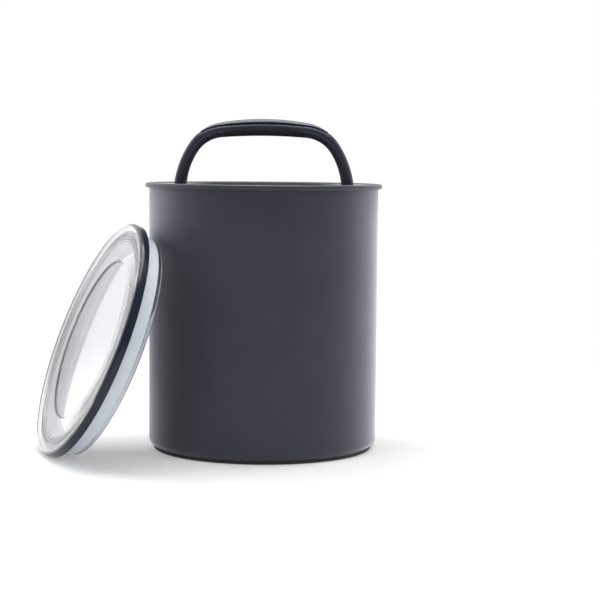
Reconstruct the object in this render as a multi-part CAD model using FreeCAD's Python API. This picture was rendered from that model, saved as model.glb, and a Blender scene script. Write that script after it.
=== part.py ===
import FreeCAD, Part
import math
import os

# Coffee canister with an inner lid (plunger) that is pushed down on the coffee.
# Millimetres, +Z up. The origin is on the canister's axis, on the surface it stands on.
# The plunger stands near the mouth, its handle upright, and the clear lid leans on the can.

# Canister: a drawn steel can with a rolled rim
canister_height = 199.0
canister_radius = 85.7
sheet_thickness = 0.7
base_corner_radius = 6.0
rim_bead_radius = 1.9

# Base pad: a rubber disc under the can
pad_thickness = 2.0
pad_inset = 3.7

# Lid: clear moulding, dished on top, with a skirt that goes into the mouth
lid_overhang = 1.2
lid_flange_height = 6.9
lid_edge_radius = 2.8
lid_wall = 2.4
lid_disc_radius = 60.4
lid_disc_drop = 3.7
lid_step_rise = 1.2
lid_step_width = 0.8
lid_skirt_clearance = 1.7
lid_skirt_wall = 2.7
lid_lip_height = 3.2

# Lid gasket: a soft ring in the skirt's groove
gasket_height = 10.2
gasket_seat_depth = 1.1
gasket_clearance = 0.3
gasket_edge_radius = 1.0

# Where the lid leans: angles in degrees, gaps to the wall and the floor
lid_tilt_angle = 21.8
lid_turn_angle = 18.6
lid_wall_gap = 0.3
lid_floor_gap = 0.1

# Plunger plates
pivot_drop = 13.5
deck_drop = 12.0
deck_thickness = 2.5
deck_clearance = 4.5
base_thickness = 2.5
rim_wall = 2.6
rim_rise = 9.0
skirt_inset = 4.5
skirt_wall = 2.5

# Wiper seal between the plates
wiper_clearance = 0.3
wiper_lip_height = 2.0

# Screws: radius and lengths, with the clearance of a screw in its hole
screw_radius = 1.3
screw_head_radius = 2.3
screw_head_height = 1.4
screw_clearance = 0.05
screw_bite = 6.0
boss_wall = 2.6
plate_screw_count = 3
plate_screw_inset = 19.0

# Handle outline, seen from the front: crown, shoulder and leg arcs, outside and inside
handle_rise = 61.4
handle_half_span = 67.8
handle_crown_thickness = 12.5
handle_leg_thickness = 9.6
handle_depth = 16.0
handle_edge_radius = 3.5
outer_crown_radius = 190.0
outer_shoulder_radius = 36.3
outer_leg_radius = 72.2
outer_leg_straight = 3.4
inner_crown_radius = 384.0
inner_shoulder_radius = 24.1
inner_leg_radius = 52.6
inner_leg_straight = 8.1

# Crescent cap along the handle's top, and the soft grip under its bar
cap_crown_height = 1.4
cap_setback = 1.2
grip_half_length = 30.0
grip_crown_height = 6.5
grip_end_height = 2.4
grip_thickness = 1.8

# Cross shaft, its bearings and the seats of the handle's legs on its ends
shaft_radius = 3.0
bearing_clearance = 0.05
shaft_flat_width = 4.4
shaft_seat_depth = 4.0
seat_clearance = 0.05
post_side_clearance = 0.8
post_thickness = 8.0
post_half_width = 11.0
post_foot_spread = 1.5
bearing_cap_wall = 3.5
bearing_ear_height = 3.0
post_screw_inset = 2.6

# Valve: lift, cam base radius and the yoke round the cam
valve_lift = 2.5
cam_base_radius = 5.0
cam_width = 8.0
cam_clearance = 0.15
yoke_width = 7.0
yoke_side_clearance = 0.45
yoke_bar = 2.6
yoke_corner_radius = 2.0
stem_radius = 3.0
guide_clearance = 0.1

# Valve plate and what closes on the seat
valve_plate_radius = 12.0
valve_plate_thickness = 2.0
valve_headroom = 1.0
flap_thickness = 0.8
flap_radius = 9.6
valve_seal_thickness = 1.5
valve_seal_width = 3.6
seat_height = 1.0
seat_width = 2.0
valve_seat_clearance = 0.1
relief_hole_radius = 0.9
relief_hole_count = 3
vent_hole_radius = 2.0
vent_hole_count = 4

# Chords in a rounded corner, in the rim's bead and in the handle's long edges
round_steps = 2
bead_steps = 8
edge_steps = 2

# One overrun for every cut
overrun = 1.0

# Sizes that follow from the ones above
canister_inner_radius = canister_radius - sheet_thickness
rim_bead_centre = canister_inner_radius + rim_bead_radius
rim_bead_outer_radius = rim_bead_centre + rim_bead_radius
pad_radius = canister_radius - pad_inset
pivot_height = canister_height - pivot_drop
deck_top = pivot_height - deck_drop
deck_bottom = deck_top - deck_thickness
deck_radius = canister_inner_radius - deck_clearance
chamber_height = (valve_headroom + flap_thickness + valve_plate_thickness + valve_seal_thickness
                  + valve_lift + valve_seat_clearance + seat_height)
base_top = deck_bottom - chamber_height
base_bottom = base_top - base_thickness
skirt_radius = deck_radius - skirt_inset
plate_screw_circle = deck_radius - plate_screw_inset
screw_hole_radius = screw_radius + screw_clearance
handle_inner_half_span = handle_half_span - handle_leg_thickness
handle_top = pivot_height + handle_rise
handle_underside = handle_top - handle_crown_thickness
outer_leg_end = pivot_height + outer_leg_straight
inner_leg_end = pivot_height + inner_leg_straight
bearing_radius = shaft_radius + bearing_clearance
post_outer = handle_inner_half_span - post_side_clearance
post_screw_place = post_half_width - post_screw_inset
cam_rate = valve_lift / (math.pi / 2)
cam_nose_radius = cam_base_radius + valve_lift - cam_rate
cam_heel_radius = cam_base_radius + cam_rate
cam_reach = cam_rate * math.sqrt(2) + cam_nose_radius
yoke_window_top = pivot_height + cam_base_radius + valve_lift + cam_clearance
yoke_window_bottom = pivot_height - cam_base_radius - cam_clearance
yoke_window_half_width = cam_reach + yoke_side_clearance
plate_top = deck_bottom - valve_headroom - flap_thickness
plate_bottom = plate_top - valve_plate_thickness
seat_outer_radius = valve_plate_radius - valve_seal_width / 2 + seat_width / 2
seat_inner_radius = seat_outer_radius - seat_width

Z_AXIS = FreeCAD.Vector(0, 0, 1)
X_AXIS = FreeCAD.Vector(1, 0, 0)
Y_AXIS = FreeCAD.Vector(0, 1, 0)
ORIGIN = FreeCAD.Vector(0, 0, 0)


# Outline and solid helpers

def in_xz(u, v):
    """A point of the front plane: u along X, v along Z."""
    return FreeCAD.Vector(u, 0, v)


def in_yz(u, v):
    """A point of the side plane: u along Y, v along Z."""
    return FreeCAD.Vector(0, u, v)


def outline(corners, plane=in_xz):
    """A closed wire through corners (u, v, rounding). A rounding is a few chords of its arc."""
    points = [plane(corner[0], corner[1]) for corner in corners]
    track = []
    for index, corner in enumerate(corners):
        point = points[index]
        if len(corner) < 3:
            track.append(point)
            continue
        to_last = (points[index - 1] - point).normalize()
        to_next = (points[(index + 1) % len(points)] - point).normalize()
        half_angle = to_last.getAngle(to_next) / 2
        inward = (to_last + to_next).normalize()
        across = (to_next - to_last).normalize()
        centre = point + inward * (corner[2] / math.sin(half_angle))
        swing = math.pi / 2 - half_angle
        for step in range(round_steps + 1):
            angle = swing * (2 * step / round_steps - 1)
            track.append(centre + (across * math.sin(angle) - inward * math.cos(angle)) * corner[2])
    return Part.makePolygon(track + track[:1])


def turned(corners):
    """A solid of revolution about Z from a half section (radius, height, rounding)."""
    return Part.Face(outline(corners)).revolve(ORIGIN, Z_AXIS, 360)


def slab(wire, along, thickness):
    """A wire's face thickened by the same amount to both sides of its plane."""
    face = Part.Face(wire)
    face.translate(along * (-thickness / 2))
    return face.extrude(along * thickness)


def rod(radius, low, high, along=Z_AXIS, place=ORIGIN):
    """A cylinder from low to high along an axis through a place."""
    return Part.makeCylinder(radius, high - low, place + along * low, along)


def tube(outer, inner, low, high):
    """An upright tube about the axis."""
    return rod(outer, low, high).cut(rod(inner, low, high))


def block(low, high):
    """A box between two corners."""
    size = high - low
    return Part.makeBox(size.x, size.y, size.z, low)


def on_circle(radius, count, first_angle=0):
    """Places spread evenly round the axis."""
    angles = [first_angle + 2 * math.pi * step / count for step in range(count)]
    return [FreeCAD.Vector(radius * math.cos(angle), radius * math.sin(angle), 0) for angle in angles]


def mirrored(shape):
    """The same shape on the other side of the middle plane."""
    return shape.mirror(ORIGIN, X_AXIS)


# Canister and base pad

def make_canister_shell():
    bead_height = canister_height - rim_bead_radius
    first_angle = -math.acos((canister_radius - rim_bead_centre) / rim_bead_radius)
    bead = []
    for step in range(bead_steps + 1):
        angle = first_angle + (math.pi - first_angle) * step / bead_steps
        bead.append((rim_bead_centre + rim_bead_radius * math.cos(angle),
                     bead_height + rim_bead_radius * math.sin(angle)))
    wall_foot = pad_thickness + sheet_thickness
    inner_corner = base_corner_radius - sheet_thickness
    return turned([(0, pad_thickness), (canister_radius, pad_thickness, base_corner_radius)] + bead
                  + [(canister_inner_radius, wall_foot, inner_corner), (0, wall_foot)])


def make_base_pad():
    return rod(pad_radius, 0, pad_thickness)


# Lid, drawn upright about Z with its top edge at zero, then leaned on the can

lid_radius = rim_bead_outer_radius + lid_overhang
lid_skirt_radius = canister_inner_radius - lid_skirt_clearance
lid_hollow_radius = lid_skirt_radius - lid_skirt_wall
gasket_seat_radius = lid_skirt_radius - gasket_seat_depth
gasket_radius = canister_inner_radius - gasket_clearance
gasket_foot = -lid_flange_height - gasket_height
lid_height = lid_flange_height + gasket_height + lid_lip_height


def leaned(shape):
    """Lean an upright lid piece on the can's wall, its flange on the floor."""
    tilt = math.radians(lid_tilt_angle)
    turn = math.radians(lid_turn_angle)
    reach = (canister_radius + lid_wall_gap + lid_height * math.cos(tilt)
             + lid_skirt_radius * math.sin(tilt))
    height = lid_floor_gap + lid_flange_height * math.sin(tilt) + lid_radius * math.cos(tilt)
    shape.rotate(ORIGIN, Y_AXIS, lid_tilt_angle - 90)
    shape.rotate(ORIGIN, Z_AXIS, lid_turn_angle)
    shape.translate(FreeCAD.Vector(-reach * math.cos(turn), -reach * math.sin(turn), height))
    return shape


def make_lid_cover():
    step_outer = lid_disc_radius + lid_step_width
    step_top = lid_step_rise - lid_disc_drop
    slope = -step_top / (lid_radius - step_outer)
    hollow_roof = -slope * (lid_radius - lid_hollow_radius) - lid_wall
    section = [(0, -lid_disc_drop), (lid_disc_radius, -lid_disc_drop), (step_outer, step_top),
               (lid_radius, 0, lid_edge_radius), (lid_radius, -lid_flange_height),
               (gasket_seat_radius, -lid_flange_height), (gasket_seat_radius, gasket_foot),
               (lid_skirt_radius, gasket_foot), (lid_skirt_radius, -lid_height),
               (lid_hollow_radius, -lid_height), (lid_hollow_radius, hollow_roof),
               (lid_disc_radius, -lid_disc_drop - lid_wall), (0, -lid_disc_drop - lid_wall)]
    return leaned(turned(section))


def make_lid_gasket():
    return leaned(turned([(gasket_seat_radius, -lid_flange_height), (gasket_seat_radius, gasket_foot),
                          (gasket_radius, gasket_foot, gasket_edge_radius),
                          (gasket_radius, -lid_flange_height)]))


# Plunger

def screw(top, down, bite):
    """A hex-head screw: head seated at a place, its shank running down the given direction."""
    side = Y_AXIS
    turn = FreeCAD.Rotation(down, 60)
    corners = [top + side * screw_head_radius]
    for _ in range(6):
        side = turn.multVec(side)
        corners.append(top + side * screw_head_radius)
    head = Part.Face(Part.makePolygon(corners)).extrude(down * -screw_head_height)
    return head.fuse(Part.makeCylinder(screw_radius, bite, top, down))


def bearing_screw_places():
    """Where the bearing caps' screws stand, on the tops of the caps' ears."""
    middle = post_outer - post_thickness / 2
    top = pivot_height + bearing_ear_height
    return [FreeCAD.Vector(side * middle, end * post_screw_place, top)
            for side in (-1, 1) for end in (-1, 1)]


def make_bearing_post():
    foot = post_half_width + post_foot_spread
    profile = outline([(-foot, deck_top), (foot, deck_top), (post_half_width, pivot_height),
                       (-post_half_width, pivot_height)], in_yz)
    post = slab(profile, X_AXIS, post_thickness)
    post.translate(X_AXIS * (post_outer - post_thickness / 2))
    return post


def make_plunger_top():
    rim_inner = deck_radius - rim_wall
    top = turned([(0, deck_bottom), (skirt_radius - skirt_wall, deck_bottom),
                  (skirt_radius - skirt_wall, base_top), (skirt_radius, base_top),
                  (skirt_radius, deck_bottom), (deck_radius, deck_bottom),
                  (deck_radius, deck_top + rim_rise), (rim_inner, deck_top + rim_rise),
                  (rim_inner, deck_top), (0, deck_top)])
    post = make_bearing_post()
    screw_places = on_circle(plate_screw_circle, plate_screw_count, math.pi / plate_screw_count)
    bosses = [rod(screw_hole_radius + boss_wall, base_top, deck_bottom, Z_AXIS, place)
              for place in screw_places]
    top = top.fuse([post, mirrored(post)] + bosses)
    cuts = [rod(bearing_radius, -post_outer - overrun, post_outer + overrun, X_AXIS, in_xz(0, pivot_height)),
            rod(stem_radius + guide_clearance, deck_bottom - overrun, deck_top + overrun)]
    cuts += [rod(screw_hole_radius, base_top - overrun, base_top + screw_bite, Z_AXIS, place)
             for place in screw_places]
    cuts += [rod(screw_hole_radius, -bearing_ear_height - screw_bite, overrun, Z_AXIS, place)
             for place in bearing_screw_places()]
    vent_circle = valve_plate_radius + vent_hole_radius
    cuts += [rod(vent_hole_radius, deck_bottom - overrun, deck_top + overrun, Z_AXIS, place)
             for place in on_circle(vent_circle, vent_hole_count, math.pi / vent_hole_count)]
    return top.cut(cuts)


def make_plunger_base():
    base = rod(deck_radius, base_bottom, base_top)
    base = base.fuse(tube(seat_outer_radius, seat_inner_radius, base_top, base_top + seat_height))
    cuts = []
    for place in on_circle(plate_screw_circle, plate_screw_count, math.pi / plate_screw_count):
        cuts.append(rod(screw_hole_radius, base_bottom - overrun, base_top + overrun, Z_AXIS, place))
        pocket = screw_head_radius + screw_clearance
        cuts.append(rod(pocket, base_bottom - overrun, base_bottom + screw_head_height, Z_AXIS, place))
    vent_circle = seat_inner_radius - vent_hole_radius - screw_clearance
    for place in on_circle(vent_circle, vent_hole_count):
        cuts.append(rod(vent_hole_radius, base_bottom - overrun, base_top + overrun, Z_AXIS, place))
    return base.cut(cuts)


def make_wiper_seal():
    lip = canister_inner_radius - wiper_clearance
    return turned([(skirt_radius, base_top), (skirt_radius, deck_bottom), (deck_radius, deck_bottom),
                   (lip, base_top + wiper_lip_height), (lip, base_top)])


def make_plate_screws():
    seats = [place + Z_AXIS * (base_bottom + screw_head_height)
             for place in on_circle(plate_screw_circle, plate_screw_count, math.pi / plate_screw_count)]
    bite = base_thickness - screw_head_height + screw_bite - screw_clearance
    return Part.makeCompound([screw(seat, Z_AXIS, bite) for seat in seats])


def make_bearing_cap():
    arch = bearing_radius + bearing_cap_wall
    ear_top = pivot_height + bearing_ear_height
    ears = outline([(-post_half_width, pivot_height), (post_half_width, pivot_height),
                    (post_half_width, ear_top), (-post_half_width, ear_top)], in_yz)
    cap = slab(ears, X_AXIS, post_thickness)
    cap.translate(X_AXIS * (post_outer - post_thickness / 2))
    inner = post_outer - post_thickness
    dome = rod(arch, inner, post_outer, X_AXIS, in_xz(0, pivot_height))
    below = block(FreeCAD.Vector(inner - overrun, -arch - overrun, pivot_height - arch - overrun),
                  FreeCAD.Vector(post_outer + overrun, arch + overrun, pivot_height))
    cap = cap.fuse(dome.cut(below))
    cuts = [rod(bearing_radius, inner - overrun, post_outer + overrun, X_AXIS, in_xz(0, pivot_height))]
    cuts += [rod(screw_hole_radius, -bearing_ear_height - overrun, overrun, Z_AXIS, place)
             for place in bearing_screw_places()]
    return cap.cut(cuts)


def make_cap_screws():
    bite = bearing_ear_height + screw_bite - screw_clearance
    return Part.makeCompound([screw(place, Z_AXIS * -1, bite) for place in bearing_screw_places()])


# Handle

def arch_half(half_span, crown, crown_radius, shoulder_radius, leg_radius, leg_end):
    """Three tangent arcs, of the crown, the shoulder and the leg: each one's ends and middle."""
    first = in_xz(0, crown - crown_radius)
    third = in_xz(half_span - leg_radius, leg_end)
    apart = (third - first).Length
    up = (third - first) / apart
    aside = in_xz(up.z, -up.x)
    crown_arm = crown_radius - shoulder_radius
    leg_arm = leg_radius - shoulder_radius
    rise = (apart ** 2 + crown_arm ** 2 - leg_arm ** 2) / (2 * apart)
    second = first + up * rise + aside * math.sqrt(crown_arm ** 2 - rise ** 2)
    shoulder_angle = math.atan2(second.z - first.z, second.x - first.x)
    leg_angle = math.atan2(second.z - third.z, second.x - third.x)
    spans = [(first, crown_radius, math.pi / 2, shoulder_angle),
             (second, shoulder_radius, shoulder_angle, leg_angle), (third, leg_radius, leg_angle, 0)]
    points = []
    for centre, radius, start, end in spans:
        angles = (start, (start + end) / 2, end)
        points.append([centre + in_xz(math.cos(a), math.sin(a)) * radius for a in angles])
    return points


def outer_half(inset=0):
    """One half of the handle's outer outline, drawn in by an inset."""
    return arch_half(handle_half_span - inset, handle_top - inset, outer_crown_radius - inset,
                     outer_shoulder_radius - inset, outer_leg_radius - inset, outer_leg_end)


def inner_half(inset=0):
    """One half of the handle's inner outline, drawn in by an inset."""
    return arch_half(handle_inner_half_span + inset, handle_underside + inset, inner_crown_radius + inset,
                     inner_shoulder_radius + inset, inner_leg_radius + inset, inner_leg_end)


def arch_edges(half, foot):
    """The edges of one arch outline from the left foot over the crown to the right foot."""
    crown, shoulder, leg_arc = half
    sides = [Part.Arc(*shoulder).toShape(), Part.Arc(*leg_arc).toShape(),
             Part.makeLine(leg_arc[-1], in_xz(leg_arc[-1].x, foot))]
    top = Part.Arc(in_xz(-crown[-1].x, crown[-1].z), crown[0], crown[-1]).toShape()
    return [top] + sides + [mirrored(edge) for edge in sides]


def handle_outline(inset, place):
    """The handle's outline, drawn in by an inset, at a place through its depth."""
    foot = pivot_height - handle_depth / 2
    feet = [Part.makeLine(in_xz(side * (handle_half_span - inset), foot),
                          in_xz(side * (handle_inner_half_span + inset), foot)) for side in (-1, 1)]
    edges = Part.sortEdges(arch_edges(outer_half(inset), foot) + arch_edges(inner_half(inset), foot) + feet)[0]
    wire = Part.Wire(edges)
    wire.translate(Y_AXIS * place)
    return wire


def make_handle_form():
    """The whole handle's form, before the cap and the grip are parted from it."""
    stations = []
    for step in range(edge_steps + 1):
        angle = math.pi / 2 * step / edge_steps
        inset = handle_edge_radius * (1 - math.cos(angle))
        place = handle_depth / 2 - handle_edge_radius * (1 - math.sin(angle))
        stations.append((inset, place))
    wires = [handle_outline(inset, -place) for inset, place in reversed(stations)]
    wires += [handle_outline(inset, place) for inset, place in stations]
    form = Part.makeLoft(wires, True, True)
    span = handle_half_span + overrun
    corners = block(FreeCAD.Vector(-span, -handle_depth, pivot_height - handle_depth),
                    FreeCAD.Vector(span, handle_depth, pivot_height))
    return form.cut(corners.cut(rod(handle_depth / 2, -span, span, X_AXIS, in_xz(0, pivot_height))))


def lens(half_length, middle, end, rise):
    """A tall slab over (rise above zero) or under a shallow arc drawn across the handle."""
    arc = Part.Arc(in_xz(-half_length, end), in_xz(0, middle), in_xz(half_length, end)).toShape()
    far = in_xz(0, rise)
    sides = Part.makePolygon([in_xz(half_length, end), in_xz(half_length, end) + far,
                              in_xz(-half_length, end) + far, in_xz(-half_length, end)])
    return slab(Part.Wire([arc] + sides.Edges), Y_AXIS, handle_depth + overrun)


def cap_space():
    """The space over the arc that parts the crescent cap from the arch, from shoulder to shoulder."""
    shoulder = outer_half()[1]
    tip = shoulder[1]
    middle = handle_top - cap_crown_height
    drop = middle - tip.z
    radius = (tip.x ** 2 + drop ** 2) / (2 * drop)
    half = handle_half_span
    end = middle - radius + math.sqrt(radius ** 2 - half ** 2)
    return lens(half, middle, end, handle_rise)


def make_handle_cap(form):
    half_depth = handle_depth / 2 - cap_setback
    span = handle_half_span + overrun
    narrow = block(FreeCAD.Vector(-span, -half_depth, pivot_height),
                   FreeCAD.Vector(span, half_depth, handle_top + overrun))
    return form.common(cap_space()).common(narrow)


def make_handle_grip(form):
    space = lens(grip_half_length, handle_underside + grip_crown_height,
                 handle_underside + grip_end_height, -handle_crown_thickness)
    half_depth = handle_depth / 2 - grip_thickness
    crown = inner_half()[0]
    core = lens(crown[-1].x, handle_underside + grip_thickness, crown[-1].z + grip_thickness, handle_rise)
    inside = block(FreeCAD.Vector(-handle_half_span, -half_depth, pivot_height),
                   FreeCAD.Vector(handle_half_span, half_depth, handle_top + handle_rise))
    return form.common(space).cut(core.common(inside))


def make_handle_arch(form, grip):
    arch = form.cut(cap_space()).cut(grip)
    slot_top = pivot_height + shaft_radius + seat_clearance
    slot_half = shaft_flat_width / 2 + seat_clearance
    slot_end = handle_inner_half_span + shaft_seat_depth + seat_clearance
    slot = block(FreeCAD.Vector(handle_inner_half_span - overrun, -slot_half, pivot_height - handle_depth),
                 FreeCAD.Vector(slot_end, slot_half, slot_top))
    pivot = in_xz(0, pivot_height)
    pocket = rod(screw_head_radius + screw_clearance, handle_half_span - screw_head_height,
                 handle_half_span + overrun, X_AXIS, pivot)
    hole = rod(screw_hole_radius, handle_inner_half_span, handle_half_span + overrun, X_AXIS, pivot)
    cutters = [slot, pocket, hole]
    return arch.cut(cutters + [mirrored(cutter) for cutter in cutters])


def make_cross_shaft():
    end = handle_inner_half_span + shaft_seat_depth
    pivot = in_xz(0, pivot_height)
    shaft = rod(shaft_radius, -end, end, X_AXIS, pivot)
    flat = block(FreeCAD.Vector(handle_inner_half_span, shaft_flat_width / 2, pivot_height - handle_depth),
                 FreeCAD.Vector(end + overrun, handle_depth, pivot_height + handle_depth))
    far_flat = flat.mirror(ORIGIN, Y_AXIS)
    hole = rod(screw_hole_radius, end - screw_bite, end + overrun, X_AXIS, pivot)
    cutters = [flat, far_flat, hole]
    return shaft.cut(cutters + [mirrored(cutter) for cutter in cutters])


def make_handle_screws():
    seat = in_xz(handle_half_span - screw_head_height, pivot_height)
    bite = handle_leg_thickness - screw_head_height - shaft_seat_depth + screw_bite - screw_clearance
    one = screw(seat, X_AXIS * -1, bite)
    return Part.makeCompound([mirrored(one), one])


# Valve lift: a cam of constant breadth in a yoke

def cam_point(angle, reach, rate):
    """A point of the cam where its tangent faces an angle, counted from +Z towards -Y."""
    facing = in_yz(-math.sin(angle), math.cos(angle))
    along = in_yz(-math.cos(angle), -math.sin(angle))
    return facing * reach + along * rate


def cam_flank(start, reach_at_start, rate):
    """A quarter turn of involute, in two arcs: the yoke moves as much for every degree."""
    points = []
    for step in range(5):
        turn = math.pi / 8 * step
        points.append(cam_point(start + turn, reach_at_start + rate * turn, rate))
    arcs = [Part.Arc(*points[:3]).toShape(), Part.Arc(*points[2:]).toShape()]
    return arcs, points[0], points[-1]


def make_lift_cam():
    falling, nose_end, heel_start = cam_flank(0, cam_base_radius + valve_lift, -cam_rate)
    rising, heel_end, nose_start = cam_flank(math.pi, cam_base_radius, cam_rate)
    centre = in_yz(cam_rate, cam_rate)
    diagonal = in_yz(1, 1).normalize()
    nose = Part.Arc(nose_start, centre + diagonal * cam_nose_radius, nose_end).toShape()
    heel = Part.Arc(heel_start, centre - diagonal * cam_heel_radius, heel_end).toShape()
    cam = slab(Part.Wire(falling + [heel] + rising + [nose]), X_AXIS, cam_width)
    cam.translate(Z_AXIS * pivot_height)
    pivot = in_xz(0, pivot_height)
    bore = rod(shaft_radius + seat_clearance, -cam_width, cam_width, X_AXIS, pivot)
    return cam.cut(bore)


def make_valve_stem():
    half = yoke_window_half_width + yoke_bar
    low = yoke_window_bottom - yoke_bar
    high = yoke_window_top + yoke_bar
    frame = slab(outline([(-half, low, yoke_corner_radius), (half, low, yoke_corner_radius),
                          (half, high, yoke_corner_radius), (-half, high, yoke_corner_radius)], in_yz),
                 X_AXIS, yoke_width)
    window = block(FreeCAD.Vector(-yoke_width, -yoke_window_half_width, yoke_window_bottom),
                   FreeCAD.Vector(yoke_width, yoke_window_half_width, yoke_window_top))
    stem = rod(stem_radius, plate_top, low + yoke_bar / 2)
    hole = rod(screw_hole_radius, plate_top - overrun, plate_top + screw_bite)
    return frame.cut(window).fuse(stem).cut(hole).removeSplitter()


def make_valve_plate():
    plate = rod(valve_plate_radius, plate_bottom, plate_top)
    relief_circle = (stem_radius + flap_radius) / 2
    cuts = [rod(relief_hole_radius, plate_bottom - overrun, plate_top + overrun, Z_AXIS, place)
            for place in on_circle(relief_circle, relief_hole_count)]
    cuts.append(rod(screw_hole_radius, plate_bottom - overrun, plate_top + overrun))
    return plate.cut(cuts)


def make_valve_seal():
    return tube(valve_plate_radius, valve_plate_radius - valve_seal_width,
                plate_bottom - valve_seal_thickness, plate_bottom)


def make_relief_flap():
    return tube(flap_radius, stem_radius + seat_clearance, plate_top, plate_top + flap_thickness)


def make_valve_screw():
    bite = valve_plate_thickness + screw_bite - screw_clearance
    return screw(in_xz(0, plate_bottom), Z_AXIS, bite)


def main():
    handle_form = make_handle_form()
    handle_grip = make_handle_grip(handle_form)
    bearing_cap = make_bearing_cap()
    pieces = {
        "canister_shell": make_canister_shell(),
        "base_pad": make_base_pad(),
        "lid_cover": make_lid_cover(),
        "lid_gasket": make_lid_gasket(),
        "plunger_top": make_plunger_top(),
        "plunger_base": make_plunger_base(),
        "wiper_seal": make_wiper_seal(),
        "plate_screws": make_plate_screws(),
        "bearing_cap_left": mirrored(bearing_cap),
        "bearing_cap_right": bearing_cap,
        "cap_screws": make_cap_screws(),
        "handle_arch": make_handle_arch(handle_form, handle_grip),
        "handle_cap": make_handle_cap(handle_form),
        "handle_grip": handle_grip,
        "handle_screws": make_handle_screws(),
        "cross_shaft": make_cross_shaft(),
        "lift_cam": make_lift_cam(),
        "valve_stem": make_valve_stem(),
        "valve_plate": make_valve_plate(),
        "valve_seal": make_valve_seal(),
        "relief_flap": make_relief_flap(),
        "valve_screw": make_valve_screw(),
    }
    os.makedirs("parts", exist_ok=True)
    for name, shape in pieces.items():
        shape.exportStep("parts/" + name + ".step")


main()
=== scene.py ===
import math

import bmesh
import bpy
from mathutils import Matrix, Vector


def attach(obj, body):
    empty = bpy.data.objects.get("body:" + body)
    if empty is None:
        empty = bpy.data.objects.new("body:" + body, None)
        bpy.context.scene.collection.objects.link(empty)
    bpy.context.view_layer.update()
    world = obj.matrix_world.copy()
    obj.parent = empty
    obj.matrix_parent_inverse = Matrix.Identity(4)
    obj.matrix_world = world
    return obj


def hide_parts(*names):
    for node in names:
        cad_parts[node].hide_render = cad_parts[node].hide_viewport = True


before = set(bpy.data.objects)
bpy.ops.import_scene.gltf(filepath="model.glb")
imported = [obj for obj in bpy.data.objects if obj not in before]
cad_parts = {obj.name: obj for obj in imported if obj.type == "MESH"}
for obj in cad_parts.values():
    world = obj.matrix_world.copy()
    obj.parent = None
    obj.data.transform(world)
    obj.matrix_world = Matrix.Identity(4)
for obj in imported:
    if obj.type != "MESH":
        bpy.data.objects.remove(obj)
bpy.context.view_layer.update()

# Sizes in millimetres, angles in degrees, and a share, taper or blend without a unit. They are the CAD
# part's own, apart from small roundings, the handle's edges and cap, the grip's core, the lid's step,
# rib and seat gap, the seams, and the places where one colour ends.
MM = 0.001
canister_height = 199.0
canister_radius = 85.7
sheet_thickness = 0.7
base_corner_radius = 6.0
rim_bead_radius = 1.9
rim_paint_angle = 142.0
pad_thickness = 2.0
pad_inset = 3.7
pad_edge_radius = 0.5

lid_overhang = 1.2
lid_flange_height = 6.9
lid_edge_radius = 2.8
lid_wall = 2.4
lid_disc_radius = 60.4
lid_disc_drop = 3.7
lid_step_rise = 1.2
lid_step_width = 0.8
lid_skirt_clearance = 1.7
lid_skirt_wall = 2.7
lid_lip_height = 3.2
lid_step_radius = 1.1
lid_small_radius = 0.4
lid_hollow_corner_radius = 0.8
lid_seat_gap = 0.06
lid_rib_radius = 76.5
lid_rib_width = 1.6
lid_rib_height = 2.5
lid_band_top_share = 0.38
lid_band_side_share = 0.55
gasket_height = 10.2
gasket_seat_depth = 1.1
gasket_clearance = 0.3
gasket_edge_radius = 1.0
gasket_top_radius = 0.2
lid_tilt_angle = 21.8
lid_turn_angle = 18.6
lid_wall_gap = 0.3
lid_floor_gap = 0.1

pivot_drop = 13.5
handle_rise = 61.4
handle_half_span = 67.8
handle_crown_thickness = 12.5
handle_leg_thickness = 9.6
handle_depth = 16.0
handle_edge_radius = 4.6
handle_groove_radius = 4.2
outer_arcs = (190.0, 36.3, 72.2)
inner_arcs = (384.0, 24.1, 52.6)
outer_leg_straight = 3.4
inner_leg_straight = 8.1
cap_crown_height = 2.6
cap_least_height = 0.05
cap_half_length = 49.3
cap_taper = 0.7
cap_setback = 0.5
cap_edge_blend = 2
grip_half_length = 30.0
grip_crown_height = 6.5
grip_end_height = 2.4
grip_thickness = 1.8
grip_core_drop = 4.5
seam_width = 0.12

canister_inner_radius = canister_radius - sheet_thickness
rim_bead_centre = canister_inner_radius + rim_bead_radius
lid_radius = rim_bead_centre + rim_bead_radius + lid_overhang
lid_skirt_radius = canister_inner_radius - lid_skirt_clearance
lid_hollow_radius = lid_skirt_radius - lid_skirt_wall
gasket_seat_radius = lid_skirt_radius - gasket_seat_depth
gasket_radius = canister_inner_radius - gasket_clearance
gasket_foot = -lid_flange_height - gasket_height
lid_height = lid_flange_height + gasket_height + lid_lip_height
pivot_height = canister_height - pivot_drop
handle_top = pivot_height + handle_rise
handle_underside = handle_top - handle_crown_thickness
handle_inner_half_span = handle_half_span - handle_leg_thickness

# Mesh settings: distances in metres, angles in degrees
merge_distance = 1e-6
sliver_length = 1e-7
largest_hole_sides = 4
smooth_angle = 35
handle_smooth_angle = 30
flat_angle = 1
bevel_angle = 40
bevel_segments = 3
turn_segments = 224
fine_turn_segments = 256


# Mesh helpers

def new_object(name, verts, faces, place=None, slots=None):
    """A closed mesh object from points in millimetres."""
    mesh = bpy.data.meshes.new(name)
    mesh.from_pydata([Vector(v) * MM for v in verts], [], faces)
    if slots is not None:
        mesh.polygons.foreach_set("material_index", slots)
    if place is not None:
        mesh.transform(place)
    obj = bpy.data.objects.new(name, mesh)
    bpy.context.scene.collection.objects.link(obj)
    clean(obj)
    return obj


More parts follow.
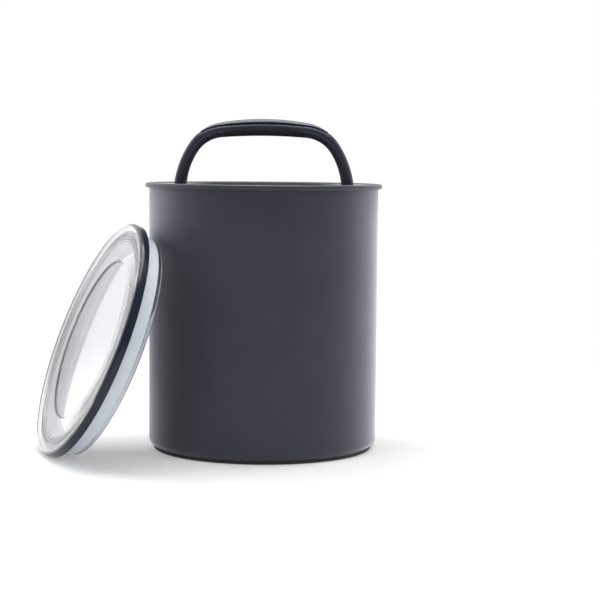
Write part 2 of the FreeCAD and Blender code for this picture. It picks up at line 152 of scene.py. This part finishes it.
def clean(obj, sharp_from=smooth_angle):
    """Merge doubled points, close small holes, face the outside and set smooth shading by angle."""
    form = bmesh.new()
    form.from_mesh(obj.data)
    bmesh.ops.remove_doubles(form, verts=form.verts, dist=merge_distance)
    bmesh.ops.dissolve_degenerate(form, edges=form.edges, dist=sliver_length)
    open_edges = [edge for edge in form.edges if edge.is_boundary]
    bmesh.ops.holes_fill(form, edges=open_edges, sides=largest_hole_sides)
    bmesh.ops.recalc_face_normals(form, faces=form.faces)
    form.to_mesh(obj.data)
    form.free()
    obj.data.shade_smooth()
    obj.data.set_sharp_from_angle(angle=math.radians(sharp_from))


def rounded(corners, steps=6, closed=True):
    """Points of a section (radius, height, rounding), its roundings drawn as arcs."""
    points = []
    last = len(corners) - 1
    for index, corner in enumerate(corners):
        here = Vector(corner[:2])
        if len(corner) < 3 or (not closed and index in (0, last)):
            points.append(tuple(here))
            continue
        rounding = corner[2]
        to_last = (Vector(corners[index - 1][:2]) - here).normalized()
        to_next = (Vector(corners[(index + 1) % len(corners)][:2]) - here).normalized()
        half = to_last.angle(to_next) / 2
        inward = (to_last + to_next).normalized()
        across = (to_next - to_last).normalized()
        centre = here + inward * (rounding / math.sin(half))
        swing = math.pi / 2 - half
        for step in range(steps + 1):
            angle = swing * (2 * step / steps - 1)
            points.append(tuple(centre + (across * math.sin(angle) - inward * math.cos(angle)) * rounding))
    return points


def lathe(name, section, segments=turn_segments, closed=False, place=None, slot_at=None):
    """Turn a section about Z. An open section starts and ends on the axis.

    slot_at gives a face's material slot from its stretch of section: its number, radius and height.
    """
    verts = []
    for step in range(segments):
        angle = 2 * math.pi * step / segments
        verts += [(r * math.cos(angle), r * math.sin(angle), z) for r, z in section]
    count = len(section)
    faces = []
    slots = []
    for step in range(segments):
        here = step * count
        there = (step + 1) % segments * count
        for index in range(count if closed else count - 1):
            after = (index + 1) % count
            faces.append((here + index, there + index, there + after, here + after))
            middle = (Vector(section[index]) + Vector(section[after])) / 2
            slots.append(slot_at(index, *middle) if slot_at else 0)
    return new_object(name, verts, faces, place, slots)


def applied(obj):
    """Turn the object's modifiers into its mesh."""
    bpy.context.view_layer.update()
    graph = bpy.context.evaluated_depsgraph_get()
    mesh = bpy.data.meshes.new_from_object(obj.evaluated_get(graph))
    obj.modifiers.clear()
    old = obj.data
    obj.data = mesh
    bpy.data.meshes.remove(old)
    return obj


def boolean(obj, other, operation):
    """Apply one boolean with another object and drop that object."""
    modifier = obj.modifiers.new("cut", "BOOLEAN")
    modifier.operation = operation
    modifier.solver = "EXACT"
    modifier.object = other
    applied(obj)
    bpy.data.objects.remove(other)
    return obj


def prism(name, outline, half_depth):
    """A closed outline in the front plane (x, z), thickened to both sides along Y."""
    count = len(outline)
    verts = [(x, -half_depth, z) for x, z in outline] + [(x, half_depth, z) for x, z in outline]
    faces = [tuple(range(count)), tuple(range(2 * count - 1, count - 1, -1))]
    for index in range(count):
        after = (index + 1) % count
        faces.append((index, after, count + after, count + index))
    return new_object(name, verts, faces)


def copied(obj, name):
    """A second object with its own copy of the mesh."""
    twin = obj.copy()
    twin.data = obj.data.copy()
    twin.name = name
    bpy.context.scene.collection.objects.link(twin)
    return twin


def softened(node_name, width):
    """A CAD node's own shape with its sharp outer edges rounded."""
    obj = bpy.data.objects.new(node_name + "_soft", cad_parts[node_name].data.copy())
    bpy.context.scene.collection.objects.link(obj)
    obj.data.materials.clear()
    for layer in ("custom_normal", "sharp_edge", "sharp_face"):
        if layer in obj.data.attributes:
            obj.data.attributes.remove(obj.data.attributes[layer])
    form = bmesh.new()
    form.from_mesh(obj.data)
    bmesh.ops.remove_doubles(form, verts=form.verts, dist=merge_distance)
    bmesh.ops.dissolve_limit(form, angle_limit=math.radians(flat_angle), verts=form.verts, edges=form.edges)
    sharp = [edge for edge in form.edges
             if edge.is_manifold and edge.is_convex and edge.calc_face_angle() > math.radians(bevel_angle)]
    bmesh.ops.bevel(form, geom=sharp, offset=width * MM, offset_type="OFFSET", segments=bevel_segments,
                    profile=0.5, affect="EDGES", clamp_overlap=False)
    form.to_mesh(obj.data)
    form.free()
    clean(obj)
    weighted = obj.modifiers.new("flat faces stay flat", "WEIGHTED_NORMAL")
    weighted.keep_sharp = True
    return applied(obj)


# Material helpers

def material(name, color, roughness, **sockets):
    """A principled material with constant values set on its own sockets."""
    mat = bpy.data.materials.new(name)
    mat.use_nodes = True
    shader = mat.node_tree.nodes["Principled BSDF"]
    shader.inputs["Base Color"].default_value = (*color, 1)
    shader.inputs["Roughness"].default_value = roughness
    for socket, value in sockets.items():
        shader.inputs[socket.replace("_", " ")].default_value = value
    return mat, shader


def node(mat, kind, **settings):
    """A new shader node. Each setting is one of its sockets or of its own options."""
    made = mat.node_tree.nodes.new(kind)
    for key, value in settings.items():
        if key in made.inputs:
            made.inputs[key].default_value = value
        else:
            setattr(made, key, value)
    return made


def link(mat, source, target):
    mat.node_tree.links.new(source, target)


def noise(mat, scale, detail=2.0, stretch=(1, 1, 1)):
    """Noise in the object's own metres, stretched along its axes."""
    place = node(mat, "ShaderNodeTexCoord")
    mapping = node(mat, "ShaderNodeMapping", Scale=stretch)
    texture = node(mat, "ShaderNodeTexNoise", Scale=scale, Detail=detail)
    link(mat, place.outputs["Object"], mapping.inputs["Vector"])
    link(mat, mapping.outputs["Vector"], texture.inputs["Vector"])
    return texture.outputs["Fac"]


def ranged(mat, value, low, high):
    """Carry a 0 to 1 value to a low to high range."""
    made = node(mat, "ShaderNodeMapRange")
    made.inputs["To Min"].default_value = low
    made.inputs["To Max"].default_value = high
    link(mat, value, made.inputs["Value"])
    return made.outputs["Result"]


def tinted(mat, shader, value, dark, pale):
    """Vary the base colour between two tones."""
    ramp = node(mat, "ShaderNodeValToRGB")
    for element, position, tone in zip(ramp.color_ramp.elements, (0.3, 0.7), (dark, pale)):
        element.position = position
        element.color = (*tone, 1)
    link(mat, value, ramp.inputs["Fac"])
    link(mat, ramp.outputs["Color"], shader.inputs["Base Color"])


def bumped(mat, shader, height, strength, distance):
    bump = node(mat, "ShaderNodeBump", Strength=strength, Distance=distance)
    link(mat, height, bump.inputs["Height"])
    link(mat, bump.outputs["Normal"], shader.inputs["Normal"])


def grained(name, dark, pale, roughness, grain, strength=0.25, depth=0.00004, **sockets):
    """Moulded or coated surface: slow tone changes, a fine grain, and roughness that varies."""
    tone_scale, tone_detail, spread = 28.0, 3.0, 0.06
    mat, shader = material(name, pale, roughness, **sockets)
    slow = noise(mat, tone_scale, tone_detail)
    fine = noise(mat, grain)
    tinted(mat, shader, slow, dark, pale)
    link(mat, ranged(mat, fine, roughness - spread, roughness + spread), shader.inputs["Roughness"])
    bumped(mat, shader, fine, strength, depth)
    return mat


def brushed(name, color, roughness, stretch, strength=0.15):
    """Metal with fine lines along one direction."""
    line_scale, line_detail, line_depth, line_shade = 900.0, 3.0, 0.00003, 0.82
    smoother, rougher = 0.08, 0.1
    mat, shader = material(name, color, roughness, Metallic=1.0)
    lines = noise(mat, line_scale, line_detail, stretch)
    tinted(mat, shader, lines, tuple(c * line_shade for c in color), color)
    link(mat, ranged(mat, lines, roughness - smoother, roughness + rougher), shader.inputs["Roughness"])
    bumped(mat, shader, lines, strength, line_depth)
    return mat


def clear_plastic(name, color):
    """Clear moulded plastic, a little milky, with a gloss that varies."""
    cloud_scale, smoothest, roughest = 40.0, 0.01, 0.045
    mat, shader = material(name, color, 0.02, Transmission_Weight=0.95, IOR=1.49)
    link(mat, ranged(mat, noise(mat, cloud_scale), smoothest, roughest), shader.inputs["Roughness"])
    return mat


def dotted(name, dark, pale, roughness, spacing, **sockets):
    """Soft rubber with a close pattern of small raised dots, pale on their tops and dark in the gaps as
    painted light and shade.
    """
    dot_top, dot_foot, unevenness = 0.2, 0.55, 0.25
    strength, depth = 0.8, 0.0002
    mat, shader = material(name, pale, roughness, **sockets)
    place = node(mat, "ShaderNodeTexCoord")
    cells = node(mat, "ShaderNodeTexVoronoi", Scale=1 / (spacing * MM), Randomness=unevenness)
    link(mat, place.outputs["Object"], cells.inputs["Vector"])
    raised = node(mat, "ShaderNodeMapRange", interpolation_type="SMOOTHSTEP")
    raised.inputs["From Min"].default_value = dot_top
    raised.inputs["From Max"].default_value = dot_foot
    raised.inputs["To Min"].default_value = 1
    raised.inputs["To Max"].default_value = 0
    link(mat, cells.outputs["Distance"], raised.inputs["Value"])
    # The tone follows the dots' height: painted light on their tops and painted shade in the gaps.
    tinted(mat, shader, raised.outputs["Result"], dark, pale)
    bumped(mat, shader, raised.outputs["Result"], strength, depth)
    return mat


# Materials. The can's paint is matte with a pale sheen at a low angle. Its rim and foot have less of it.
paint_tones = ((0.0265, 0.0265, 0.04), (0.0315, 0.0315, 0.046))
paint_sheen = {"Sheen_Roughness": 0.35, "Sheen_Tint": (0.9, 0.9, 1.0, 1)}
blue_gloss = {"Specular_Tint": (0.85, 0.87, 1.0, 1)}
translucent = {"Subsurface_Weight": 1.0, "Subsurface_Radius": (1, 1, 1), "Subsurface_Scale": 0.012,
               "IOR": 1.41}
round_the_wall = (0.02, 0.02, 1.0)
round_the_shaft = (1.0, 0.05, 0.05)

paint = grained("can_paint", *paint_tones, roughness=0.45, grain=2600.0,
                Specular_IOR_Level=0.25, Sheen_Weight=1.0, **paint_sheen)
rim_paint = grained("rim_paint", *paint_tones, roughness=0.42, grain=2600.0,
                    Specular_IOR_Level=0.3, Sheen_Weight=0.2, **paint_sheen)
steel_inside = brushed("bare_steel", (0.5, 0.5, 0.51), 0.3, round_the_wall)
rim_steel = brushed("rim_steel", (0.58, 0.58, 0.59), 0.17, round_the_wall, strength=0.05)
shaft_steel = brushed("shaft_steel", (0.58, 0.58, 0.58), 0.28, round_the_shaft, strength=0.04)
pad_rubber = grained("pad_rubber", (0.014, 0.014, 0.015), (0.02, 0.02, 0.022), roughness=0.7, grain=1500.0)
lid_plastic = clear_plastic("lid_clear", (0.91, 0.92, 0.95))
disc_plastic = clear_plastic("lid_disc", (0.83, 0.84, 0.885))
lip_plastic = clear_plastic("lid_lip", (0.2, 0.22, 0.27))
lid_band = grained("lid_band", (0.010, 0.012, 0.023), (0.013, 0.016, 0.029), roughness=0.16, grain=900.0,
                   strength=0.04, Specular_IOR_Level=0.3)
silicone = grained("gasket_silicone", (0.57, 0.65, 0.76), (0.64, 0.72, 0.83), roughness=0.42, grain=900.0,
                   strength=0.1, **translucent)
# The gasket's back is a paler copy of the silicone: painted light, standing in for light that comes through
# the ring onto its inner face.
silicone_back_painted_light = grained("gasket_back_painted_light", (0.9, 0.93, 0.97), (0.94, 0.96, 0.99), roughness=0.42, grain=900.0,
                        strength=0.1, **translucent)
plunger_plastic = grained("plunger_plastic", (0.022, 0.022, 0.024), (0.03, 0.03, 0.033), roughness=0.5,
                          grain=1800.0)
seal_rubber = grained("seal_rubber", (0.018, 0.018, 0.019), (0.026, 0.026, 0.028), roughness=0.65,
                      grain=1200.0)
handle_plastic = grained("handle_plastic", (0.010, 0.010, 0.020), (0.014, 0.014, 0.026), roughness=0.42,
                         grain=2200.0, Specular_IOR_Level=0.75, **blue_gloss)
# The cap is a paler copy of the handle's plastic: painted light, standing in for the light from above on
# the handle's top.
cap_plastic = grained("cap_plastic", (0.028, 0.029, 0.039), (0.035, 0.036, 0.048), roughness=0.4,
                      grain=2400.0, strength=0.12, Specular_IOR_Level=0.7, **blue_gloss)
grip_rubber = dotted("grip_rubber", (0.005, 0.005, 0.008), (0.02, 0.02, 0.03), roughness=0.6,
                     spacing=0.9, **blue_gloss)
cam_plastic = grained("cam_plastic", (0.19, 0.19, 0.195), (0.23, 0.23, 0.235), roughness=0.38,
                      grain=1600.0, strength=0.12)


def dress(obj, body, slot, replaced, *mats):
    """Put a new piece on its body in place of a CAD node."""
    for mat in mats:
        obj.data.materials.append(mat)
    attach(obj, body)
    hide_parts(replaced)


# Canister: painted outside and over the rim, bare steel inside

def make_can():
    bead_height = canister_height - rim_bead_radius
    bead_foot = -math.acos((canister_radius - rim_bead_centre) / rim_bead_radius)
    bead_turn = math.pi - bead_foot
    bead_steps, corner_steps, corner_steps_like_wall = 20, 8, 3
    bead = []
    for step in range(bead_steps + 1):
        angle = bead_foot + bead_turn * step / bead_steps
        bead.append((rim_bead_centre + rim_bead_radius * math.cos(angle),
                     bead_height + rim_bead_radius * math.sin(angle)))
    wall_foot = pad_thickness + sheet_thickness
    corners = [(0, pad_thickness), (canister_radius, pad_thickness, base_corner_radius)] + bead
    corners += [(canister_inner_radius, wall_foot, base_corner_radius - sheet_thickness), (0, wall_foot)]

    # Stretches of the section in order: the underside, the corner's steps, the wall, the bead's steps
    wall = 1 + corner_steps
    wall_start = wall - corner_steps_like_wall
    bead_start = wall + 1
    bead_end = bead_start + bead_steps
    paint_share = (math.radians(rim_paint_angle) - bead_foot) / bead_turn
    paint_end = bead_start + math.ceil(bead_steps * paint_share)
    on_wall, on_rim_and_foot, on_inside, on_bare_bead = range(4)

    def slot_at(index, radius, height):
        if wall_start <= index < bead_start:
            return on_wall
        if index < paint_end:
            return on_rim_and_foot
        return on_bare_bead if index < bead_end else on_inside

    section = rounded(corners, corner_steps, closed=False)
    can = lathe("can_shell", section, fine_turn_segments, slot_at=slot_at)
    dress(can, "canister", "can_paint", "canister_shell", paint, rim_paint, steel_inside, rim_steel)


def make_pad():
    radius = canister_radius - pad_inset
    corners = [(0, 0), (radius, 0, pad_edge_radius), (radius, pad_thickness), (0, pad_thickness)]
    pad = lathe("pad_disc", rounded(corners, steps=4, closed=False))
    dress(pad, "canister", "pad_rubber", "base_pad", pad_rubber)


# Lid, drawn upright with its top edge at zero and then leaned on the can

def lid_place():
    tilt = math.radians(lid_tilt_angle)
    turn = math.radians(lid_turn_angle)
    reach = (canister_radius + lid_wall_gap + lid_height * math.cos(tilt)
             + lid_skirt_radius * math.sin(tilt))
    height = lid_floor_gap + lid_flange_height * math.sin(tilt) + lid_radius * math.cos(tilt)
    move = Vector((-reach * math.cos(turn), -reach * math.sin(turn), height)) * MM
    return (Matrix.Translation(move) @ Matrix.Rotation(turn, 4, "Z")
            @ Matrix.Rotation(tilt - math.pi / 2, 4, "Y"))


def make_lid():
    """The cover with a dark band round its flange, a smoky lip and a slightly greyer disc."""
    step_outer = lid_disc_radius + lid_step_width
    step_top = lid_step_rise - lid_disc_drop
    slope = -step_top / (lid_radius - step_outer)
    hollow_roof = -slope * (lid_radius - lid_hollow_radius) - lid_wall
    disc_roof = -lid_disc_drop - lid_wall
    fall = (disc_roof - hollow_roof) / (lid_hollow_radius - lid_disc_radius)
    small = lid_small_radius
    soft = lid_step_radius

    def roof_at(radius):
        return hollow_roof + fall * (lid_hollow_radius - radius)

    rib_outer = lid_rib_radius + lid_rib_width
    outer_roof, inner_roof = roof_at(rib_outer), roof_at(lid_rib_radius)
    corners = [(0, -lid_disc_drop), (lid_disc_radius, -lid_disc_drop, soft), (step_outer, step_top, soft),
               (lid_radius, 0, lid_edge_radius), (lid_radius, -lid_flange_height, small),
               (gasket_seat_radius, -lid_flange_height), (gasket_seat_radius, gasket_foot),
               (lid_skirt_radius, gasket_foot, small), (lid_skirt_radius, -lid_height, small),
               (lid_hollow_radius, -lid_height, small),
               (lid_hollow_radius, hollow_roof, lid_hollow_corner_radius),
               (rib_outer, outer_roof, small), (rib_outer, outer_roof - lid_rib_height, small),
               (lid_rib_radius, inner_roof - lid_rib_height, small), (lid_rib_radius, inner_roof, small),
               (lid_disc_radius, disc_roof, small), (0, disc_roof)]
    band_top = -lid_edge_radius * lid_band_top_share
    band_side = lid_radius - lid_edge_radius * lid_band_side_share
    clear, on_band, on_lip, on_disc = range(4)

    def slot_at(index, radius, height):
        if height < gasket_foot and radius > lid_hollow_radius + small:
            return on_lip
        if radius < lid_disc_radius:
            return on_disc
        return on_band if radius > band_side and height < band_top else clear

    section = rounded(corners, steps=8, closed=False)
    lid = lathe("lid_shell", section, fine_turn_segments, place=lid_place(), slot_at=slot_at)
    dress(lid, "lid", "lid_clear", "lid_cover", lid_plastic, lid_band, lip_plastic, disc_plastic)


def make_gasket():
    """The ring round the lid's skirt. Its back, the face against the skirt, is a paler copy of the
    silicone: painted light standing in for light that comes through the ring.
    """
    seat = gasket_seat_radius + lid_seat_gap
    top = -lid_flange_height - lid_seat_gap
    foot = gasket_foot + lid_seat_gap
    corners = [(seat, top), (seat, foot), (gasket_radius, foot, gasket_edge_radius),
               (gasket_radius, top, gasket_top_radius)]
    # The back stretch takes the paler copy: painted light on the face towards the skirt.
    painted_light_stretch = 0
    gasket = lathe("lid_ring", rounded(corners), fine_turn_segments, closed=True, place=lid_place(),
                   slot_at=lambda index, radius, height: int(index == painted_light_stretch))
    dress(gasket, "lid", "gasket_silicone", "lid_gasket", silicone, silicone_back_painted_light)


# Handle: a rounded bar along two three-arc outlines, with the cap on it and the grip cut from it

def arc(centre, radius, start, end, steps):
    angles = [start + (end - start) * step / steps for step in range(steps + 1)]
    return [(centre.x + radius * math.cos(a), centre.y + radius * math.sin(a)) for a in angles]


def arch_half(half_span, crown, arcs, leg_end, foot):
    """Points (x, z) from the crown's middle round the shoulder and down the leg to the foot."""
    crown_steps, shoulder_steps, leg_steps, straight_steps = 14, 20, 14, 14
    crown_radius, shoulder_radius, leg_radius = arcs
    first = Vector((0, crown - crown_radius))
    third = Vector((half_span - leg_radius, leg_end))
    apart = (third - first).length
    up = (third - first) / apart
    aside = Vector((up.y, -up.x))
    crown_arm = crown_radius - shoulder_radius
    leg_arm = leg_radius - shoulder_radius
    rise = (apart ** 2 + crown_arm ** 2 - leg_arm ** 2) / (2 * apart)
    second = first + up * rise + aside * math.sqrt(crown_arm ** 2 - rise ** 2)
    shoulder = math.atan2(*(second - first).yx)
    leg = math.atan2(*(second - third).yx)
    points = arc(first, crown_radius, math.pi / 2, shoulder, crown_steps)
    points += arc(second, shoulder_radius, shoulder, leg, shoulder_steps)[1:]
    points += arc(third, leg_radius, leg, 0, leg_steps)[1:]
    for step in range(1, straight_steps + 1):
        share = math.sin(math.pi / 2 * step / straight_steps)
        points.append((half_span, leg_end + (foot - leg_end) * share))
    return points


def both_sides(half):
    return [(-x, z) for x, z in reversed(half[1:])] + half


def bar_section(half_width, half_depth, outer_radius, inner_radius, steps=7):
    """Points of a rounded rectangle (u across the bar, v through its depth)."""
    points = []
    for corner in range(4):
        radius = outer_radius if corner in (0, 3) else inner_radius
        u = (half_width - radius) * (1 if corner in (0, 3) else -1)
        v = (half_depth - radius) * (1 if corner in (0, 1) else -1)
        for step in range(steps + 1):
            angle = math.pi / 2 * (corner + step / steps)
            points.append((u + radius * math.cos(angle), v + radius * math.sin(angle)))
    return points


def crescent_section(height, half_depth, radius, steps=10):
    """Points of the top of a rounded bar above a flat cut (u above the cut, v through the depth)."""
    last = math.asin(max(0.0, radius - height) / radius)
    side = []
    for step in range(steps + 1):
        angle = last + (math.pi / 2 - last) * step / steps
        side.append((height - radius + radius * math.sin(angle),
                     half_depth - radius + radius * math.cos(angle)))
    return side + [(u, -v) for u, v in reversed(side)]


def skin(name, rings):
    """A closed tube through rings of points, its two ends filled."""
    count = len(rings[0])
    faces = []
    for station in range(len(rings) - 1):
        for index in range(count):
            after = (index + 1) % count
            here = station * count
            faces.append((here + index, here + after, here + count + after, here + count + index))
    faces.append(tuple(range(count)))
    faces.append(tuple(range((len(rings) - 1) * count, len(rings) * count)))
    return new_object(name, [point for ring in rings for point in ring], faces)


def make_bar_and_cap():
    """The arch and the crescent on it, which thins out towards its two ends on the shoulders."""
    half_depth = handle_depth / 2
    foot = pivot_height - half_depth
    outer_half = arch_half(handle_half_span, handle_top, outer_arcs,
                           pivot_height + outer_leg_straight, foot)
    inner_half = arch_half(handle_inner_half_span, handle_underside, inner_arcs,
                           pivot_height + inner_leg_straight, foot)
    bar_rings = []
    cap_rings = []
    for far, near in zip(both_sides(outer_half), both_sides(inner_half)):
        far, near = Vector(far), Vector(near)
        across = (far - near).normalized()
        length = (far - near).length
        cap_height = cap_crown_height * max(0.0, 1 - (far.x / cap_half_length) ** 2) ** cap_taper
        reach = length - cap_height
        bar_width = reach - min(seam_width, cap_height)
        blend = min(1.0, cap_height / cap_crown_height * cap_edge_blend)
        outer_radius = handle_edge_radius + (handle_groove_radius - handle_edge_radius) * blend
        ring = []
        for u, v in bar_section(bar_width / 2, half_depth, outer_radius, handle_edge_radius):
            point = near + across * (bar_width / 2 + u)
            below = max(0.0, min(half_depth, pivot_height - point.y))
            ring.append((point.x, v * math.sqrt(1 - (below / half_depth) ** 2), point.y))
        bar_rings.append(ring)
        if cap_height > cap_least_height:
            cap_half_depth = half_depth - cap_setback * cap_height / cap_crown_height
            ring = []
            for u, v in crescent_section(cap_height, cap_half_depth, outer_radius):
                point = near + across * (reach + u)
                ring.append((point.x, v, point.y))
            cap_rings.append(ring)
    return skin("handle_bar", bar_rings), skin("handle_crescent", cap_rings)


def bow(half_length, middle, end, far, steps=64):
    """An outline over or under a shallow arc, closed at a far height."""
    drop = middle - end
    radius = (half_length ** 2 + drop ** 2) / (2 * drop)
    points = []
    for step in range(steps + 1):
        x = half_length * (2 * step / steps - 1)
        points.append((x, middle - radius + math.sqrt(radius ** 2 - x ** 2)))
    return points + [(half_length, far), (-half_length, far)]


def make_handle():
    """The bar with its cap, and the grip: the bar's underside, round a core that stays with the bar."""
    bar, cap = make_bar_and_cap()
    grip_top = handle_underside + grip_crown_height
    grip_end = handle_underside + grip_end_height
    grip_far = handle_underside - handle_crown_thickness
    core_top = handle_underside + grip_thickness
    core_depth = handle_depth / 2 - grip_thickness
    under = bow(grip_half_length, grip_top, grip_end, grip_far)
    wide = bow(grip_half_length + seam_width, grip_top + seam_width, grip_end + seam_width, grip_far)
    core = bow(handle_inner_half_span, core_top, core_top - grip_core_drop, handle_top + handle_rise)

    grip = boolean(copied(bar, "handle_pad"), prism("space", under, handle_depth), "INTERSECT")
    boolean(grip, prism("space", core, core_depth), "DIFFERENCE")
    cutter = prism("space", wide, handle_depth)
    boolean(cutter, prism("core", core, core_depth - seam_width), "DIFFERENCE")
    boolean(bar, cutter, "DIFFERENCE")
    for piece in (bar, cap, grip):
        clean(piece, handle_smooth_angle)
    dress(bar, "handle", "handle_plastic", "handle_arch", handle_plastic)
    dress(cap, "handle", "cap_plastic", "handle_cap", cap_plastic)
    dress(grip, "handle", "grip_rubber", "handle_grip", grip_rubber)


# Stage, light and camera, in metres

white = (1, 1, 1, 1)
# A ray whose Diffuse Depth is below this has met no dull surface yet
first_dull_bounce = 0.5


def make_stage():
    """A floor that keeps the shadow near the object and is plain white further away."""
    half_size = 6.0
    shadow_radius, white_radius = 0.2, 0.7
    tone, glow = (0.5, 0.5, 0.5), 0.25
    mesh = bpy.data.meshes.new("floor")
    verts = [(-half_size, -half_size, 0), (half_size, -half_size, 0),
             (half_size, half_size, 0), (-half_size, half_size, 0)]
    mesh.from_pydata(verts, [], [(0, 1, 2, 3)])
    floor = bpy.data.objects.new("floor", mesh)
    bpy.context.scene.collection.objects.link(floor)
    mat, shader = material("floor_white", tone, 0.9, Specular_IOR_Level=0.0,
                           Emission_Color=white, Emission_Strength=glow)
    place = node(mat, "ShaderNodeTexCoord")
    away = node(mat, "ShaderNodeVectorMath", operation="LENGTH")
    link(mat, place.outputs["Object"], away.inputs[0])
    share = node(mat, "ShaderNodeMapRange", interpolation_type="SMOOTHSTEP")
    share.inputs["From Min"].default_value = shadow_radius
    share.inputs["From Max"].default_value = white_radius
    link(mat, away.outputs["Value"], share.inputs["Value"])
    plain = node(mat, "ShaderNodeEmission", Color=white, Strength=1.0)
    path = node(mat, "ShaderNodeLightPath")
    direct = node(mat, "ShaderNodeMath", operation="LESS_THAN")
    direct.inputs[1].default_value = first_dull_bounce
    link(mat, path.outputs["Diffuse Depth"], direct.inputs[0])
    seen = node(mat, "ShaderNodeMath", operation="MULTIPLY")
    link(mat, share.outputs["Result"], seen.inputs[0])
    link(mat, direct.outputs[0], seen.inputs[1])
    mix = node(mat, "ShaderNodeMixShader")
    link(mat, seen.outputs[0], mix.inputs["Fac"])
    link(mat, shader.outputs["BSDF"], mix.inputs[1])
    link(mat, plain.outputs["Emission"], mix.inputs[2])
    link(mat, mix.outputs["Shader"], mat.node_tree.nodes["Material Output"].inputs["Surface"])
    mesh.materials.append(mat)


def make_world():
    """Plain soft light, a bright back of the room in metal and glass, and white for the camera."""
    lit, mirrored_room, seen_room = (0.3, 0.35), (0.15, 1.0), (1.0, 1.0)
    front_end, back_end = -0.5, 0.3
    world = bpy.data.worlds.new("studio")
    bpy.context.scene.world = world
    world.use_nodes = True
    nodes = world.node_tree.nodes
    links = world.node_tree.links
    place = nodes.new("ShaderNodeTexCoord")
    split = nodes.new("ShaderNodeSeparateXYZ")
    links.new(place.outputs["Generated"], split.inputs[0])

    def background(front, back):
        """White light that changes from the front of the room to the back."""
        share = nodes.new("ShaderNodeMapRange")
        share.interpolation_type = "SMOOTHSTEP"
        share.inputs["From Min"].default_value = front_end
        share.inputs["From Max"].default_value = back_end
        share.inputs["To Min"].default_value = front
        share.inputs["To Max"].default_value = back
        links.new(split.outputs["Y"], share.inputs["Value"])
        made = nodes.new("ShaderNodeBackground")
        made.inputs["Color"].default_value = white
        links.new(share.outputs["Result"], made.inputs["Strength"])
        return made.outputs[0]

    def math_node(operation, first, second):
        made = nodes.new("ShaderNodeMath")
        made.operation = operation
        links.new(first, made.inputs[0])
        if isinstance(second, float):
            made.inputs[1].default_value = second
        else:
            links.new(second, made.inputs[1])
        return made.outputs[0]

    def mixed(share, first, second):
        made = nodes.new("ShaderNodeMixShader")
        links.new(share, made.inputs["Fac"])
        links.new(first, made.inputs[1])
        links.new(second, made.inputs[2])
        return made.outputs[0]

    path = nodes.new("ShaderNodeLightPath")
    bright = math_node("MAXIMUM", path.outputs["Is Glossy Ray"], path.outputs["Is Transmission Ray"])
    direct = math_node("LESS_THAN", path.outputs["Diffuse Depth"], first_dull_bounce)
    mirrored = math_node("MULTIPLY", bright, direct)
    room = mixed(mirrored, background(*lit), background(*mirrored_room))
    room = mixed(path.outputs["Is Camera Ray"], room, background(*seen_room))
    links.new(room, nodes["World Output"].inputs["Surface"])


def lamp(name, place, width, power, mirrored):
    """A square softbox aimed at the can. Metal and glass show it only where mirrored is true."""
    target = Vector((0, 0, 0.1))
    data = bpy.data.lights.new(name, "AREA")
    data.shape = "RECTANGLE"
    data.size = data.size_y = width
    data.energy = power
    obj = bpy.data.objects.new(name, data)
    obj.location = place
    obj.rotation_euler = (target - Vector(place)).to_track_quat("-Z", "Y").to_euler()
    obj.visible_glossy = mirrored
    obj.visible_transmission = mirrored
    bpy.context.scene.collection.objects.link(obj)


def make_camera():
    """The photograph's camera, fitted to the can, the lid and the handle in a 600 by 600 image."""
    distance, height = 1.2882, 0.2192
    focal_pixels, image_pixels, sensor = 1712.3, 600, 36.0
    pitch, yaw, roll = math.radians(4.790), math.radians(1.235), math.radians(0.497)
    forward = Vector((math.sin(yaw) * math.cos(pitch), math.cos(yaw) * math.cos(pitch), -math.sin(pitch)))
    level = Vector((math.cos(yaw), -math.sin(yaw), 0))
    above = level.cross(forward)
    right = level * math.cos(roll) + above * math.sin(roll)
    up = above * math.cos(roll) - level * math.sin(roll)
    data = bpy.data.cameras.new("camera")
    data.sensor_width = sensor
    data.lens = focal_pixels / image_pixels * sensor
    camera = bpy.data.objects.new("camera", data)
    turn = Matrix((right, up, -forward)).transposed().to_4x4()
    camera.matrix_world = Matrix.Translation((0, -distance, height)) @ turn
    bpy.context.scene.collection.objects.link(camera)
    bpy.context.scene.camera = camera


make_can()
make_pad()
make_lid()
make_gasket()
make_handle()

# Inner lid and valve: the CAD shapes with their sharp outer edges rounded by a width in millimetres
for name, body, slot, mat, width in (
        ("plunger_top", "plunger", "plunger_plastic", plunger_plastic, 0.4),
        ("plunger_base", "plunger", "plunger_plastic", plunger_plastic, 0.4),
        ("bearing_cap_left", "plunger", "plunger_plastic", plunger_plastic, 0.4),
        ("bearing_cap_right", "plunger", "plunger_plastic", plunger_plastic, 0.4),
        ("cap_screws", "plunger", "screw_steel", shaft_steel, 0.2),
        ("handle_screws", "handle", "screw_steel", shaft_steel, 0.2),
        ("lift_cam", "handle", "cam_plastic", cam_plastic, 0.3),
        ("valve_stem", "valve", "cam_plastic", cam_plastic, 0.4),
        ("valve_plate", "valve", "cam_plastic", cam_plastic, 0.3)):
    dress(softened(name, width), body, slot, name, mat)

# CAD nodes that keep their own shape get their materials
shown_as = {
    "wiper_seal": seal_rubber, "plate_screws": shaft_steel, "cross_shaft": shaft_steel,
    "valve_seal": seal_rubber, "relief_flap": seal_rubber, "valve_screw": shaft_steel,
}
for name, mat in shown_as.items():
    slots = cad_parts[name].data.materials
    slots.clear()
    slots.append(mat)

make_stage()
make_world()
# Softboxes: place, width, power, and whether metal and glass show them
for name, place, width, power, mirrored in (
        ("left_back_softbox", (-1.3, 0.72, 0.55), 0.9, 32, False),
        ("right_back_softbox", (1.3, 0.72, 0.5), 0.9, 28, False),
        ("left_front_softbox", (-1.7, -1.4, 0.7), 1.0, 18, False),
        ("right_front_softbox", (1.7, -1.4, 0.7), 1.0, 18, False),
        ("top_softbox", (0, 0.1, 1.6), 1.2, 26, True)):
    lamp(name, place, width, power, mirrored)
make_camera()
bpy.context.scene.view_settings.view_transform = "Standard"
